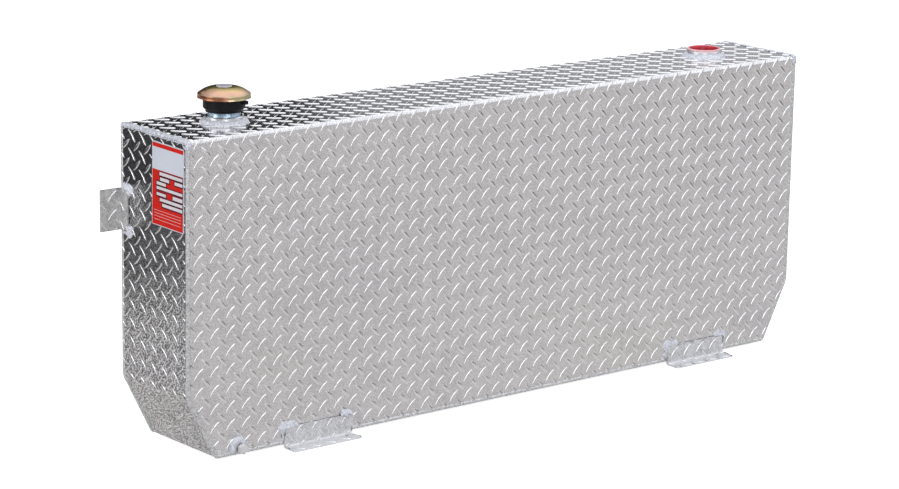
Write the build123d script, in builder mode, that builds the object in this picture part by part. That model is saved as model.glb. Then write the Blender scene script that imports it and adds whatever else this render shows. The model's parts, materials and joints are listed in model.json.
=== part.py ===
from build123d import *
import math
import os

# Truck bed transfer tank: a tall narrow fuel tank of welded tread plate that
# stands across the front of a truck bed. Millimetres, +Z up, X along the
# tank, front at -Y. The origin is on the bed, under the middle of the tank.

# Tank
tank_length = 1554.0
tank_depth = 215.0
tank_height = 610.0
sheet = 3.2
tread_rise = 1.4        # height of the raised tread on the sheet
foot_drop = 8.0         # the feet reach this far below the tank's bottom
cut_run = 64.0          # bottom corner cut, along X
cut_rise = 124.0        # bottom corner cut, up Z
top_fold = 4.8          # inside radius of the folds along the top
cut_fold = 32.8         # inside radius of the fold above each corner cut
bottom_fold = 4.8       # inside radius of the fold below each corner cut

# Seam welds
bead_rise = 1.3         # a bead stands this far out of the sheets
bead_clear = 0.1        # between a bead and the angles that cross it

# Baffles
baffle_count = 3
baffle_flange = 24.0
baffle_bend = 5.0
baffle_notch = 34.0
baffle_hole = 62.0
baffle_hole_drop = 105.0

# Filler riser on a 2 inch pipe thread
filler_from_end = 158.0
bung_outer = 73.0
bung_length = 25.4
bung_stand = 14.0
bung_chamfer = 1.5
bung_weld_width = 10.0
bung_weld_rise = 9.0
nipple_outer = 60.3
nipple_bore = 52.5
nipple_length = 38.0
nipple_seat = 19.0      # the nipple stands this deep in the bung

# Cap base, screwed on the nipple
base_thread = 11.0      # the nipple reaches this far into the base
base_foot_outer = 70.0
base_foot_height = 2.6
base_cone_height = 4.6
base_outer = 79.6
base_bore = 54.0
base_step = 2.0         # from the nipple's end up to the chamber
base_lip = 9.0          # thickness of the lip over the chamber
base_lip_bore = 54.0
base_chamfer = 1.0
chamber_height = 6.5
chamber_clear = 2.0     # round the lock bar's ears
slot_clear = 1.75       # on each side of an ear, in its slot
slot_angle = 0.0
lug_angle = -60.0
lug_reach = 49.0
lug_width = 11.0
lug_thick = 6.0
lug_drop = 7.0          # from the base's rim down to the lug
padlock_hole = 6.5

# Cap
lock_turn = 50.0        # clockwise, from open to where the padlock holes meet
seat_gap = 0.3          # between the cap's parts and what they turn or rest on
gasket_outer = 73.0
gasket_inner = 50.0
gasket_thick = 3.0
plate_outer = 71.0
plate_thick = 1.5
plate_lip = 3.0
plate_bend = 2.0
bar_thick = 2.5
bar_radius = 31.0
bar_width = 20.0
bar_chamfer = 0.8
rivet_stem = 9.6
stem_gap = 0.3
rivet_head = 30.0
rivet_head_thick = 1.4
rivet_head_chamfer = 0.7
rivet_peen = 15.0
rivet_peen_thick = 2.0
dome_outer = 101.6
dome_sheet = 1.5
dome_skirt = 9.5
dome_rise = 11.0
dome_flat_margin = 1.0  # flat crown outside the rivet's head
dome_shoulder = 3.0
dome_lip = 1.0
dome_bend = 2.0
dome_overlap = 2.5      # the skirt hangs this far below the base's rim
spring_width = 14.0
spring_span = 56.0
spring_thick = 1.0

# Pump port and its plug
port_from_end = 165.0
port_bore = 57.0
plug_gap = 0.3
plug_flange = 69.0
plug_flange_thick = 4.2
plug_depth = 15.0
plug_wall = 2.6
plug_round = 1.2

# Drain
drain_from_end = 112.0
drain_clear = 0.2       # between the bung and the bottom sheet
drain_outer = 22.2
drain_stand = 12.0
drain_inside = 8.0
drain_bore = 15.0
drain_weld_width = 9.0
drain_weld_rise = 7.0
drain_neck = 2.5        # bare shank between the bung and the plug's head
drain_shank = 11.0
drain_hex = 17.5
drain_head = 8.0
drain_head_chamfer = 1.0

# Angles bent from sheet, and the fillet welds that hold them
angle_sheet = 3.2
angle_bend = 3.2        # inside radius
angle_corner = 3.0
fillet_leg = 7.5
fillet_belly = 0.6      # where the middle of a weld's face lies, 0.5 is flat
fillet_clear = 1.0      # between a foot's welds and the seam weld below

# Feet
foot_length = 160.0
foot_leg = 41.0
foot_flange = 36.0
foot_left_from_end = 299.0
foot_right_from_end = 267.0
foot_bolt = 10.5
foot_bolt_offset = 52.0
foot_bolt_inset = 17.0  # from the flange's edge
foot_weld_lap = 22.0

# Brackets on the two ends
bracket_height = 80.0
bracket_reach = 47.0
bracket_leg = 26.0
bracket_up = 407.0      # above the tank's bottom
bracket_weld_lap = 12.0

# Data tag
tag_width = 101.0
tag_height = 154.0
tag_thick = 1.6
tag_from_top = 20.0
tag_from_front = 12.0
tag_corner = 4.0

# Worked out from the sizes above
half_length = tank_length / 2
half_depth = tank_depth / 2
bottom = foot_drop
top = foot_drop + tank_height
inner_half_length = half_length - sheet
inner_half_depth = half_depth - sheet
inner_bottom = bottom + sheet
inner_top = top - sheet
filler_x = -half_length + filler_from_end
port_x = half_length - port_from_end
drain_x = -half_length + drain_from_end
drain_z = inner_bottom + drain_clear + drain_outer / 2
foot_left_x = -half_length + foot_left_from_end
foot_right_x = half_length - foot_right_from_end
bead_radius = sheet + bead_rise
bead_lap = math.sqrt(bead_radius**2 - sheet**2)
stand_off = max(tread_rise, bead_rise + bead_clear)
angle_face = stand_off + angle_sheet

bung_top = top + bung_stand
bung_bottom = bung_top - bung_length
nipple_bottom = bung_top - nipple_seat
nipple_top = nipple_bottom + nipple_length
base_bottom = nipple_top - base_thread
chamber_bottom = nipple_top + base_step
chamber_top = chamber_bottom + chamber_height
chamber_radius = bar_radius + chamber_clear
slot_width = bar_width + 2 * slot_clear
base_top = chamber_top + base_lip
padlock_radius = lug_reach - lug_width / 2
padlock_angle = lug_angle + 180 + lock_turn
gasket_bottom = base_top + seat_gap
gasket_top = gasket_bottom + gasket_thick
plate_top = gasket_top + plate_thick
bar_top = chamber_top - seat_gap
bar_bottom = bar_top - bar_thick
dome_bottom = base_top - dome_overlap
dome_crease = dome_bottom + dome_skirt
dome_top = dome_crease + dome_rise
skirt_radius = dome_outer / 2 - dome_lip
stem_hole = rivet_stem + 2 * stem_gap
plug_shank = port_bore / 2 - plug_gap
plug_floor = bung_top - plug_depth


def side_points(inset, height):
    """Corners of the tank's side outline, this far inside its outer skin."""
    slant = math.atan2(cut_run, cut_rise)
    x_side = half_length - inset
    x_low = half_length - cut_run - inset * math.tan((math.pi / 2 - slant) / 2)
    z_cut = bottom + cut_rise + inset * math.tan(slant / 2)
    z_low = bottom + inset
    left = [(-x_side, height), (-x_side, z_cut), (-x_low, z_low)]
    right = [(x_low, z_low), (x_side, z_cut), (x_side, height)]
    return left + right


def side_radii(inset):
    """Radii of the four folds in that outline."""
    cut_radius = cut_fold + sheet - inset
    bottom_radius = bottom_fold + sheet - inset
    return [cut_radius, bottom_radius, bottom_radius, cut_radius]


def side_outline(inset):
    """The outline as a face that runs up past the tank's top."""
    with BuildSketch(Plane.XZ) as face:
        with BuildLine():
            run = FilletPolyline(*side_points(inset, top + tank_depth), radius=side_radii(inset))
            Line(run @ 1, run @ 0)
        make_face()
    return face.sketch


def upright(x):
    """Upright plane through the axis at x, drawn on as radius and height."""
    return Plane((x, 0, 0), x_dir=(1, 0, 0), z_dir=(0, -1, 0))


def turned(height, angle):
    """Level plane on the filler's axis, its X turned by an angle."""
    return Plane((filler_x, 0, height)).rotated((0, 0, angle))


outer_outline = side_outline(0)
seam_outline = side_outline(sheet)
filler_axis = Axis((filler_x, 0, 0), (0, 0, 1))
port_axis = Axis((port_x, 0, 0), (0, 0, 1))
drain_plane = Plane((drain_x, -half_depth, drain_z), x_dir=(0, 0, 1), z_dir=(0, -1, 0))

# One sheet is folded over the top: front wall, top and back wall.
with BuildPart() as saddle_shell:
    with BuildSketch(Plane.YZ) as section:
        with Locations((0, top)):
            Rectangle(tank_depth, tank_height, align=(Align.CENTER, Align.MAX))
        fillet(section.vertices().group_by(Axis.Y)[-1], radius=top_fold + sheet)
        with BuildSketch(mode=Mode.SUBTRACT) as hollow:
            with Locations((0, inner_top)):
                Rectangle(2 * inner_half_depth, tank_height, align=(Align.CENTER, Align.MAX))
            fillet(hollow.vertices().group_by(Axis.Y)[-1], radius=top_fold)
    extrude(amount=inner_half_length, both=True)
    extrude(seam_outline, amount=tank_depth, both=True, mode=Mode.INTERSECT)
    with Locations((filler_x, 0, top), (port_x, 0, top)):
        Cylinder(bung_outer / 2, 4 * sheet, mode=Mode.SUBTRACT)
    with BuildSketch(drain_plane):
        Circle(drain_outer / 2)
    extrude(amount=2 * sheet, both=True, mode=Mode.SUBTRACT)

# The other sheet is folded round the ends and the bottom. The two sheets
# meet edge to edge, and the seam welds fill the open corner between them.
with BuildPart() as end_wrap:
    extrude(outer_outline, amount=inner_half_depth, both=True)
    extrude(seam_outline, amount=tank_depth, both=True, mode=Mode.SUBTRACT)
    split(bisect_by=Plane.XY.offset(inner_top), keep=Keep.BOTTOM)
    top_corners = end_wrap.edges().filter_by(Axis.X).group_by(Axis.Z)[-1]
    fillet(top_corners, radius=top_fold)


# Baffles
def make_baffle(x):
    """Flanged plate across the tank, open at its corners so that fuel passes."""
    inner_height = inner_top - inner_bottom
    with BuildPart() as baffle:
        with BuildSketch(Plane((x, 0, inner_bottom))):
            with BuildLine():
                FilletPolyline(
                    (baffle_flange, -inner_half_depth),
                    (0, -inner_half_depth),
                    (0, inner_half_depth),
                    (baffle_flange, inner_half_depth),
                    radius=baffle_bend,
                )
                offset(amount=sheet, side=Side.RIGHT)
            make_face()
        extrude(amount=inner_height)
        with BuildSketch(Plane((x, 0, inner_bottom + inner_height / 2), x_dir=(0, 1, 0), z_dir=(1, 0, 0))):
            blank = Rectangle(2 * inner_half_depth, inner_height)
            chamfer(blank.vertices(), length=baffle_notch)
            with GridLocations(0, inner_height - 2 * baffle_hole_drop, 1, 2):
                Circle(baffle_hole / 2, mode=Mode.SUBTRACT)
        extrude(amount=2 * baffle_flange, both=True, mode=Mode.INTERSECT)
    return baffle.part


baffles = {}
for number in range(1, baffle_count + 1):
    baffle_x = -half_length + tank_length * number / (baffle_count + 1)
    baffles[f"baffle_{number}"] = make_baffle(baffle_x)

# Seam weld across: it fills the open corner and laps on both sheets.
bead_crown = bead_radius / math.sqrt(2)
bead_face = [(sheet, -bead_lap), (bead_crown, bead_crown), (-bead_lap, sheet)]
bead_root = [(-bead_lap, sheet), (0, sheet), (0, 0), (sheet, 0), (sheet, -bead_lap)]

# Long seams: down one end, across the bottom and up the other end. They
# stop short of the top folds, where the seams over the ends take over.
seam_top = top - 2 * (top_fold + sheet)
with BuildPart() as seam_weld_front:
    with BuildLine(Plane.XZ.offset(inner_half_depth)):
        front_run = FilletPolyline(*side_points(sheet, seam_top), radius=side_radii(sheet))
    with BuildSketch(Plane(front_run @ 0, x_dir=(0, -1, 0), z_dir=(0, 0, -1))):
        with BuildLine():
            ThreePointArc(*bead_face)
            Polyline(*bead_root)
        make_face()
    sweep()
    with BuildSketch(drain_plane):
        Circle(drain_outer / 2)
    extrude(amount=drain_stand, both=True, mode=Mode.SUBTRACT)

with BuildPart() as seam_weld_back:
    with BuildLine(Plane.XZ.offset(-inner_half_depth)):
        back_run = FilletPolyline(*side_points(sheet, seam_top), radius=side_radii(sheet))
    with BuildSketch(Plane(back_run @ 0, x_dir=(-1, 0, 0), z_dir=(0, 0, -1))):
        with BuildLine():
            ThreePointArc(*bead_face)
            Polyline(*bead_root)
        make_face()
    sweep()

with BuildPart() as seam_weld_left:
    with BuildLine(Plane.YZ.offset(-inner_half_length)):
        over_run = FilletPolyline(
            (-inner_half_depth, seam_top),
            (-inner_half_depth, inner_top),
            (inner_half_depth, inner_top),
            (inner_half_depth, seam_top),
            radius=top_fold,
        )
    with BuildSketch(Plane(over_run @ 0, x_dir=(-1, 0, 0), z_dir=(0, 0, 1))):
        with BuildLine():
            ThreePointArc(*bead_face)
            Polyline(*bead_root)
        make_face()
    sweep()

with BuildPart() as seam_weld_right:
    mirror(seam_weld_left.part, about=Plane.YZ)


# Weld bungs for the filler and the pump
def make_bung(x, bore):
    """Half pipe coupling, let into the top sheet."""
    with BuildPart() as bung:
        with BuildSketch(Plane((x, 0, bung_bottom))):
            Circle(bung_outer / 2)
        extrude(amount=bung_length)
        chamfer(bung.edges().group_by(Axis.Z)[-1], length=bung_chamfer)
        with Locations((x, 0, bung_top)):
            Hole(bore / 2)
    return bung.part


def make_bung_weld(axis):
    """Wide fillet weld round a bung."""
    inside = bung_outer / 2
    with BuildPart() as weld:
        with BuildSketch(upright(axis.position.X)):
            with BuildLine():
                Polyline((inside, top + bung_weld_rise), (inside, top), (inside + bung_weld_width, top))
                ThreePointArc(
                    (inside + bung_weld_width, top),
                    (inside + fillet_belly * bung_weld_width, top + fillet_belly * bung_weld_rise),
                    (inside, top + bung_weld_rise),
                )
            make_face()
        revolve(axis=axis)
    return weld.part


port_bung = make_bung(port_x, port_bore)
port_bung_weld = make_bung_weld(port_axis)
filler_bung_weld = make_bung_weld(filler_axis)
bored_bung = make_bung(filler_x, nipple_bore)
with BuildPart() as filler_bung:
    add(bored_bung)
    with BuildSketch(Plane((filler_x, 0, bung_top))):
        Circle(nipple_outer / 2)
    extrude(amount=-nipple_seat, mode=Mode.SUBTRACT)

# Galvanised riser pipe
with BuildPart() as filler_nipple:
    with BuildSketch(Plane((filler_x, 0, nipple_bottom))):
        Circle(nipple_outer / 2)
        Circle(nipple_bore / 2, mode=Mode.SUBTRACT)
    extrude(amount=nipple_length)

# Cap base: a turned casting with a chamber for the lock bar, a lip that the
# bar turns under, two slots that it drops through and a padlock lug.
with BuildPart() as cap_base:
    with BuildSketch(upright(filler_x)):
        with BuildLine():
            Polyline(
                (nipple_outer / 2, base_bottom),
                (base_foot_outer / 2, base_bottom),
                (base_foot_outer / 2, base_bottom + base_foot_height),
                (base_outer / 2, base_bottom + base_foot_height + base_cone_height),
                (base_outer / 2, base_top - base_chamfer),
                (base_outer / 2 - base_chamfer, base_top),
                (base_lip_bore / 2, base_top),
                (base_lip_bore / 2, chamber_top),
                (chamber_radius, chamber_top),
                (chamber_radius, chamber_bottom),
                (base_bore / 2, chamber_bottom),
                (base_bore / 2, nipple_top),
                (nipple_outer / 2, nipple_top),
                close=True,
            )
        make_face()
    revolve(axis=filler_axis)
    with BuildSketch(turned(chamber_top, slot_angle)):
        Circle(chamber_radius)
        Rectangle(2 * chamber_radius, slot_width, mode=Mode.INTERSECT)
    extrude(amount=base_lip, mode=Mode.SUBTRACT)
    with BuildSketch(turned(base_top - lug_drop, lug_angle)):
        lug_root = (chamber_radius + base_outer / 2) / 2
        with Locations((padlock_radius, 0)):
            Circle(lug_width / 2)
            Rectangle(padlock_radius - lug_root, lug_width, align=(Align.MAX, Align.CENTER))
    extrude(amount=-lug_thick)
    with BuildSketch(turned(base_top - lug_drop, lug_angle)):
        with Locations((padlock_radius, 0)):
            Circle(padlock_hole / 2)
    extrude(amount=-lug_thick, mode=Mode.SUBTRACT)

# Cap seal: gasket, plate and spring lift with the cap and don't turn.
with BuildPart() as cap_gasket:
    with BuildSketch(Plane((filler_x, 0, gasket_bottom))):
        Circle(gasket_outer / 2)
        Circle(gasket_inner / 2, mode=Mode.SUBTRACT)
    extrude(amount=gasket_thick)

with BuildPart() as cap_seal_plate:
    with BuildSketch(upright(filler_x)):
        with BuildLine():
            FilletPolyline(
                (stem_hole / 2, gasket_top),
                (plate_outer / 2, gasket_top),
                (plate_outer / 2, gasket_top + plate_lip),
                radius=plate_bend,
            )
            offset(amount=plate_thick, side=Side.LEFT)
        make_face()
    revolve(axis=filler_axis)

with BuildPart() as cap_spring:
    with BuildSketch(upright(filler_x)):
        with BuildLine():
            ThreePointArc(
                (-spring_span / 2, plate_top),
                (0, dome_top - dome_sheet - seat_gap - spring_thick),
                (spring_span / 2, plate_top),
            )
            offset(amount=spring_thick, side=Side.LEFT)
        make_face()
    extrude(amount=spring_width / 2, both=True)
    with BuildSketch(Plane((filler_x, 0, plate_top))):
        Circle(stem_hole / 2)
    extrude(amount=dome_top - plate_top, mode=Mode.SUBTRACT)

# Cap: a pressed dome, riveted to the lock bar below it
with BuildPart() as cap_dome:
    with BuildSketch(upright(filler_x)):
        with BuildLine():
            flat = Line((rivet_stem / 2, dome_top), (rivet_head / 2 + dome_flat_margin, dome_top))
            slope = TangentArc(flat @ 1, (skirt_radius - dome_shoulder, dome_crease), tangent=flat % 1)
            FilletPolyline(
                slope @ 1,
                (skirt_radius, dome_crease - dome_shoulder / 2),
                (skirt_radius, dome_bottom + dome_lip + dome_sheet),
                (skirt_radius + dome_lip, dome_bottom),
                radius=dome_bend,
            )
            offset(amount=dome_sheet, side=Side.RIGHT)
        make_face()
    revolve(axis=filler_axis)
    with BuildSketch(turned(dome_bottom, padlock_angle)):
        with Locations((padlock_radius, 0)):
            Circle(padlock_hole / 2)
    extrude(amount=dome_top - dome_bottom, mode=Mode.SUBTRACT)

with BuildPart() as cap_lock_bar:
    with BuildSketch(turned(bar_bottom, slot_angle)):
        Circle(bar_radius)
        Rectangle(2 * bar_radius, bar_width, mode=Mode.INTERSECT)
        Circle(rivet_stem / 2, mode=Mode.SUBTRACT)
    extrude(amount=bar_thick)
    ear_tips = cap_lock_bar.faces().filter_by(GeomType.CYLINDER).sort_by(SortBy.AREA)[-2:]
    chamfer(ear_tips.edges().group_by(Axis.Z)[-1], length=bar_chamfer)

with BuildPart() as cap_rivet:
    with BuildSketch(upright(filler_x)):
        with BuildLine():
            Polyline(
                (0, bar_bottom - rivet_peen_thick),
                (rivet_peen / 2, bar_bottom - rivet_peen_thick),
                (rivet_peen / 2, bar_bottom),
                (rivet_stem / 2, bar_bottom),
                (rivet_stem / 2, dome_top),
                (rivet_head / 2, dome_top),
                (rivet_head / 2, dome_top + rivet_head_thick - rivet_head_chamfer),
                (rivet_head / 2 - rivet_head_chamfer, dome_top + rivet_head_thick),
                (0, dome_top + rivet_head_thick),
                close=True,
            )
        make_face()
    revolve(axis=filler_axis)

# Recessed plastic plug in the pump port
with BuildPart() as port_plug:
    with BuildSketch(upright(port_x)) as plug_section:
        with BuildLine():
            Polyline(
                (0, plug_floor),
                (plug_shank, plug_floor),
                (plug_shank, bung_top),
                (plug_flange / 2, bung_top),
                (plug_flange / 2, bung_top + plug_flange_thick),
                (plug_shank - plug_wall, bung_top + plug_flange_thick),
                (plug_shank - plug_wall, plug_floor + plug_wall),
                (0, plug_floor + plug_wall),
                close=True,
            )
        make_face()
        fillet(plug_section.vertices().group_by(Axis.Y)[-1], radius=plug_round)
    revolve(axis=port_axis)

# Drain bung low in the front wall, with its weld and its hexagon plug
with BuildPart() as drain_bung:
    with BuildSketch(drain_plane.offset(drain_stand)):
        Circle(drain_outer / 2)
        Circle(drain_bore / 2, mode=Mode.SUBTRACT)
    extrude(amount=-(drain_stand + sheet + drain_inside))

with BuildPart() as drain_bung_weld:
    with BuildSketch(Plane((drain_x, 0, drain_z))):
        inside = drain_outer / 2
        with BuildLine():
            Polyline(
                (inside, -half_depth - drain_weld_rise),
                (inside, -half_depth),
                (inside + drain_weld_width, -half_depth),
            )
            ThreePointArc(
                (inside + drain_weld_width, -half_depth),
                (inside + fillet_belly * drain_weld_width, -half_depth - fillet_belly * drain_weld_rise),
                (inside, -half_depth - drain_weld_rise),
            )
        make_face()
    revolve(axis=Axis((drain_x, 0, drain_z), (0, 1, 0)))
    split(bisect_by=Plane.XY.offset(inner_bottom + bead_lap), keep=Keep.TOP)

with BuildPart() as drain_plug:
    head_plane = drain_plane.offset(drain_stand + drain_neck)
    with BuildSketch(head_plane):
        RegularPolygon(drain_hex / 2, 6, major_radius=False)
    extrude(amount=drain_head)
    chamfer(drain_plug.faces().sort_by(Axis.Y)[0].edges(), length=drain_head_chamfer)
    with BuildSketch(head_plane):
        Circle(drain_bore / 2 - plug_gap)
    extrude(amount=-(drain_neck + drain_shank))


# Feet: angles along the bottom edges, bolted down through their flanges
def make_foot(x, side):
    """Foot centred at x, on the front wall (side -1) or the back wall (+1)."""
    back = half_depth + stand_off
    with BuildPart() as foot:
        with BuildSketch(Plane((x, 0, 0), x_dir=(0, side, 0), z_dir=(side, 0, 0))):
            with BuildLine():
                FilletPolyline(
                    (back, foot_leg),
                    (back, 0),
                    (back + foot_flange, 0),
                    radius=angle_bend + angle_sheet,
                )
                offset(amount=angle_sheet, side=Side.LEFT)
            make_face()
        extrude(amount=foot_length / 2, both=True)
        fillet(foot.edges().filter_by(Axis.Y).group_by(Axis.Z)[-1], radius=angle_corner)
        tip = foot.faces().sort_by(Axis.Y)[0 if side < 0 else -1]
        fillet(tip.edges().filter_by(Axis.Z), radius=angle_corner)
        with Locations((x + foot_bolt_offset, side * (back + foot_flange - foot_bolt_inset), angle_sheet)):
            Hole(foot_bolt / 2)
    return foot.part


def make_lap_weld(wall, start, corner, end):
    """Fillet weld round a corner of an angle; the angle is left of the run."""
    with BuildPart() as weld:
        with BuildLine(wall):
            run = FilletPolyline(start, corner, end, radius=angle_corner)
        with BuildSketch(Plane(run @ 0, x_dir=wall.z_dir, z_dir=run % 0)):
            with BuildLine():
                Polyline((angle_face, 0), (0, 0), (0, fillet_leg))
                ThreePointArc(
                    (0, fillet_leg),
                    (fillet_belly * angle_face, fillet_belly * fillet_leg),
                    (angle_face, 0),
                )
            make_face()
        sweep()
    return weld.part


feet = {}
weld_low = inner_bottom + bead_lap + fillet_clear
for row, side in (("front", -1), ("back", 1)):
    wall = Plane((0, side * half_depth, 0), x_dir=(-side, 0, 0), z_dir=(0, side, 0))
    for place, foot_x in (("left", foot_left_x), ("right", foot_right_x)):
        name = f"foot_{row}_{place}"
        feet[name] = make_foot(foot_x, side)
        near = -side * foot_x - foot_length / 2
        far = -side * foot_x + foot_length / 2
        feet[f"{name}_weld_1"] = make_lap_weld(
            wall, (near + foot_weld_lap, foot_leg), (near, foot_leg), (near, weld_low)
        )
        feet[f"{name}_weld_2"] = make_lap_weld(
            wall, (far, weld_low), (far, foot_leg), (far - foot_weld_lap, foot_leg)
        )


# Brackets: angles on the ends, their long legs in line with the back wall
bracket_bottom = bottom + bracket_up
bracket_top = bracket_bottom + bracket_height


def make_bracket(side):
    """Bracket on the left end (side -1) or the right end (+1)."""
    back = half_length + stand_off
    with BuildPart() as bracket:
        with BuildSketch(Plane.XY.offset(bracket_bottom)):
            with BuildLine():
                FilletPolyline(
                    (side * back, half_depth - bracket_leg),
                    (side * back, half_depth),
                    (side * (back + bracket_reach), half_depth),
                    radius=angle_bend + angle_sheet,
                )
                offset(amount=angle_sheet, side=Side.LEFT if side < 0 else Side.RIGHT)
            make_face()
        extrude(amount=bracket_height)
        leg_end = bracket.faces().sort_by(Axis.Y)[0]
        fillet(leg_end.edges().filter_by(Axis.X), radius=angle_corner)
    return bracket.part


brackets = {}
for place, side in (("left", -1), ("right", 1)):
    wall = Plane((side * half_length, 0, 0), x_dir=(0, side, 0), z_dir=(side, 0, 0))
    root = side * (half_depth - angle_bend - angle_sheet)
    edge = side * (half_depth - bracket_leg)
    above = [(root, bracket_top), (edge, bracket_top), (edge, bracket_top - bracket_weld_lap)]
    below = [(edge, bracket_bottom + bracket_weld_lap), (edge, bracket_bottom), (root, bracket_bottom)]
    if side < 0:
        above.reverse()
        below.reverse()
    brackets[f"bracket_{place}"] = make_bracket(side)
    brackets[f"bracket_{place}_weld_top"] = make_lap_weld(wall, *above)
    brackets[f"bracket_{place}_weld_bottom"] = make_lap_weld(wall, *below)

# Data tag, high on the left end
tag_y = -half_depth + tag_from_front + tag_width / 2
tag_z = top - tag_from_top - tag_height / 2
with BuildPart() as data_tag:
    with BuildSketch(Plane((-half_length, tag_y, tag_z), x_dir=(0, -1, 0), z_dir=(-1, 0, 0))):
        RectangleRounded(tag_width, tag_height, tag_corner)
    extrude(amount=tag_thick)

pieces = {
    "saddle_shell": saddle_shell.part,
    "end_wrap": end_wrap.part,
    "seam_weld_front": seam_weld_front.part,
    "seam_weld_back": seam_weld_back.part,
    "seam_weld_left": seam_weld_left.part,
    "seam_weld_right": seam_weld_right.part,
    "filler_bung": filler_bung.part,
    "filler_bung_weld": filler_bung_weld,
    "filler_nipple": filler_nipple.part,
    "cap_base": cap_base.part,
    "cap_gasket": cap_gasket.part,
    "cap_seal_plate": cap_seal_plate.part,
    "cap_spring": cap_spring.part,
    "cap_dome": cap_dome.part,
    "cap_lock_bar": cap_lock_bar.part,
    "cap_rivet": cap_rivet.part,
    "port_bung": port_bung,
    "port_bung_weld": port_bung_weld,
    "port_plug": port_plug.part,
    "drain_bung": drain_bung.part,
    "drain_bung_weld": drain_bung_weld.part,
    "drain_plug": drain_plug.part,
    "data_tag": data_tag.part,
}
pieces.update(baffles)
pieces.update(feet)
pieces.update(brackets)

os.makedirs("parts", exist_ok=True)
for name, piece in pieces.items():
    piece.label = name
    export_step(piece, f"parts/{name}.step")
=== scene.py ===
# %% [markdown]
# This lesson dresses a truck bed transfer tank: a tall, narrow fuel tank
# welded from bright tread plate. The imported CAD model gives every piece its
# place, so the scene starts by loading it.
# Everything is in metres, Z is up, and the front of the tank faces -Y.

# %% Load the model
import json
import math
import bpy
import numpy as np
from mathutils import Matrix, Vector, noise


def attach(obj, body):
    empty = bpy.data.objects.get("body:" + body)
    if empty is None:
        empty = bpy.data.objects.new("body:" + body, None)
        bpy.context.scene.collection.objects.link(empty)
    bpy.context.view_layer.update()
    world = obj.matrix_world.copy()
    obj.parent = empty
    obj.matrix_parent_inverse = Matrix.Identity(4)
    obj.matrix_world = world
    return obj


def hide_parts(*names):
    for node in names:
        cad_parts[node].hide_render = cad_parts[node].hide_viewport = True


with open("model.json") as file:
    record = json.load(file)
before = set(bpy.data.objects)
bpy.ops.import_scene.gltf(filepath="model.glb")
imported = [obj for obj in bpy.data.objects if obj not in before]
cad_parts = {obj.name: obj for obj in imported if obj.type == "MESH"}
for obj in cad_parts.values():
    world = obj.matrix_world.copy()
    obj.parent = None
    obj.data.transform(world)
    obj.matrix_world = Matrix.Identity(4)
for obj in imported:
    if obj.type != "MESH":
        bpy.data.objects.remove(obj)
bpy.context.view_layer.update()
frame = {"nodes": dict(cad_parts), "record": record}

nodes = frame["nodes"]
mm = 0.001

# %% [markdown]
# The photograph was taken from the tank's left front, a little above it, with
# a long lens from about six metres. The camera is set from three directions:
# its right, its up and the way back from the picture. A matrix with these as
# columns puts the camera in place, with nothing left to turn by hand.

# %% Camera
def aimed_camera(place, azimuth, elevation, roll, lens):
    """Camera at a place, looking along an azimuth and an elevation."""
    az, el, ro = (math.radians(a) for a in (azimuth, elevation, roll))
    back = Vector((math.sin(az) * math.cos(el), -math.cos(az) * math.cos(el), math.sin(el)))
    level = Vector((math.cos(az), math.sin(az), 0))
    lift = back.cross(level)
    right = math.cos(ro) * level + math.sin(ro) * lift
    up = math.cos(ro) * lift - math.sin(ro) * level
    camera = bpy.data.objects.new("camera", bpy.data.cameras.new("camera"))
    turn = Matrix((right, up, back)).transposed().to_4x4()
    camera.matrix_world = Matrix.Translation(place) @ turn
    camera.data.sensor_width = 36
    camera.data.lens = lens
    camera.data.clip_end = 60
    bpy.context.scene.collection.objects.link(camera)
    bpy.context.scene.camera = camera


aimed_camera((-4.0098, -4.7732, 1.7985), -39.534, 13.550, 0.971, 128.17)
bpy.context.scene.view_settings.view_transform = "Standard"

# %% [markdown]
# Bright metal has no colour of its own: it shows the room. So the room is
# built first. Soft lamps stand over the tank, in front of it and on both of
# its sides, and give the raised bars their white lines. Dark cards stand behind
# the tank and at its right, and make the flats of the end and the top dark, as
# they are in the photograph. Only reflections see the cards.

# %% Lamps
def soft_lamp(name, place, target, size, glow, lean=0, colour=(1, 1, 1)):
    """Lamp aimed at a point, leaning in its own plane; glow is how bright its face looks."""
    light = bpy.data.lights.new(name, "AREA")
    light.shape = "RECTANGLE"
    light.size, light.size_y = size
    light.energy = glow * math.pi * size[0] * size[1]
    light.color = colour
    lamp = bpy.data.objects.new(name, light)
    aim = (Vector(target) - Vector(place)).to_track_quat("-Z", "Y").to_matrix().to_4x4()
    lamp.matrix_world = Matrix.Translation(place) @ aim @ Matrix.Rotation(math.radians(lean), 4, "Z")
    lamp.visible_camera = False
    bpy.context.scene.collection.objects.link(lamp)


soft_lamp("lamp_over", (1.0, -0.5, 2.5), (1.0, -0.49, 0.5), (5.2, 3.6), 0.66, colour=(0.93, 0.96, 1.0))
soft_lamp("lamp_front", (-1.25, -2.75, 1.75), (0, 0, 0.35), (2.8, 0.95), 2.5, lean=45)
soft_lamp("lamp_right", (2.45, -2.75, 1.65), (0.4, -0.1, 0.6), (2.5, 1.7), 0.66, colour=(0.88, 0.92, 1.0))
soft_lamp("lamp_left", (-3.1, 0.45, 1.25), (-0.7, 0, 0.4), (1.1, 1.3), 3.8)

# %% [markdown]
# A material is a tree of nodes. A few helpers make a node with its values, or
# join some of them, in one line, so the trees below stay short to read.

# %% Small helpers for materials
def add_node(tree, kind, **settings):
    """New node in a tree, with its settings and named input values."""
    made = tree.nodes.new(kind)
    for key, value in settings.items():
        if key == "inputs":
            for name, number in value.items():
                made.inputs[name].default_value = number
        else:
            setattr(made, key, value)
    return made


def new_material(name):
    """Material with its tree and its Principled BSDF."""
    material = bpy.data.materials.new(name)
    material.use_nodes = True
    tree = material.node_tree
    return material, tree, tree.nodes["Principled BSDF"]


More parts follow.
